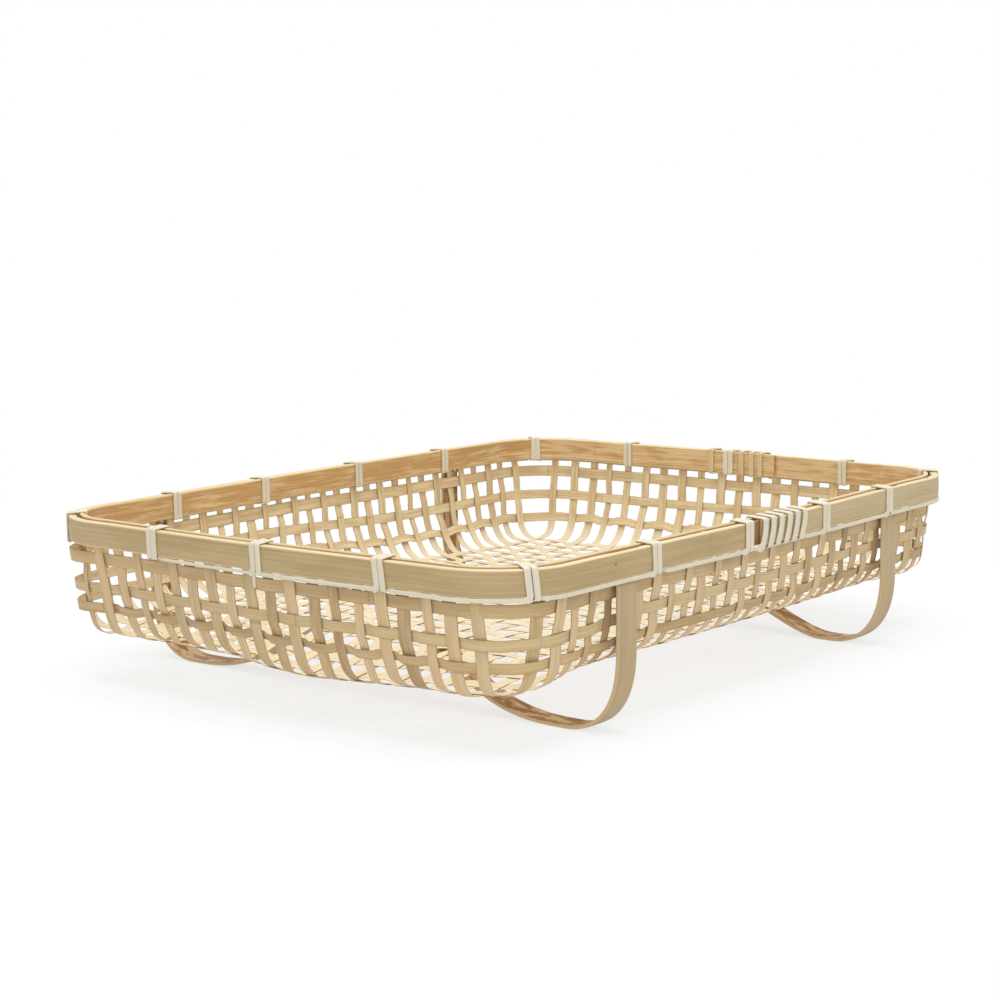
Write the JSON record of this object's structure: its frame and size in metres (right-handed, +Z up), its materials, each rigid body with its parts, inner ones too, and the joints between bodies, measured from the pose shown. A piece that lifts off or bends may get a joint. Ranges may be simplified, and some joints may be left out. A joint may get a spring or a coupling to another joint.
{
  "type": "storage basket",
  "caption": "Shallow open-woven bamboo storage basket with a cane-lashed double-hoop rim and bent bamboo runners that form loop feet.",
  "frame": {"origin": "on the floor under the middle of the whole part", "axes": "+Z up, +X along the longer walls, +Y along the shorter walls, away from the wall that has the outer hoop's joint"},
  "size_m": [0.4282, 0.3228, 0.0891],
  "materials": {
    "bamboo_hoop_outer": "satin, fine grain along the strip",
    "bamboo_hoop_inner": "satin, fine grain along the strip",
    "bamboo_splint": "matt, split face",
    "bamboo_weaver": "matt, split face",
    "bamboo_runner": "satin, fine grain along the strip",
    "white_cane": "satin, bleached"
  },
  "bodies": {
    "root": {"hoop_outer": "bamboo_hoop_outer", "hoop_inner": "bamboo_hoop_inner", "splint_long_01": "bamboo_splint", "splint_long_02": "bamboo_splint", "splint_long_03": "bamboo_splint", "splint_long_04": "bamboo_splint", "splint_long_05": "bamboo_splint", "splint_long_06": "bamboo_splint", "splint_long_07": "bamboo_splint", "splint_long_08": "bamboo_splint", "splint_long_09": "bamboo_splint", "splint_long_10": "bamboo_splint", "splint_long_11": "bamboo_splint", "splint_long_12": "bamboo_splint", "splint_long_13": "bamboo_splint", "splint_long_14": "bamboo_splint", "splint_long_15": "bamboo_splint", "splint_long_16": "bamboo_splint", "splint_long_17": "bamboo_splint", "splint_long_18": "bamboo_splint", "splint_long_19": "bamboo_splint", "splint_long_20": "bamboo_splint", "splint_cross_01": "bamboo_splint", "splint_cross_02": "bamboo_splint", "splint_cross_03": "bamboo_splint", "splint_cross_04": "bamboo_splint", "splint_cross_05": "bamboo_splint", "splint_cross_06": "bamboo_splint", "splint_cross_07": "bamboo_splint", "splint_cross_08": "bamboo_splint", "splint_cross_09": "bamboo_splint", "splint_cross_10": "bamboo_splint", "splint_cross_11": "bamboo_splint", "splint_cross_12": "bamboo_splint", "splint_cross_13": "bamboo_splint", "splint_cross_14": "bamboo_splint", "splint_cross_15": "bamboo_splint", "splint_cross_16": "bamboo_splint", "splint_cross_17": "bamboo_splint", "splint_cross_18": "bamboo_splint", "splint_cross_19": "bamboo_splint", "splint_cross_20": "bamboo_splint", "splint_cross_21": "bamboo_splint", "splint_cross_22": "bamboo_splint", "splint_cross_23": "bamboo_splint", "splint_cross_24": "bamboo_splint", "splint_cross_25": "bamboo_splint", "splint_cross_26": "bamboo_splint", "splint_cross_27": "bamboo_splint", "splint_cross_28": "bamboo_splint", "splint_cross_29": "bamboo_splint", "splint_cross_30": "bamboo_splint", "weaver_row_1": "bamboo_weaver", "weaver_row_2": "bamboo_weaver", "weaver_row_3": "bamboo_weaver", "foot_runner_left": "bamboo_runner", "foot_runner_right": "bamboo_runner", "lashing_front": "white_cane", "lashing_back": "white_cane"}
  },
  "joints": []
}
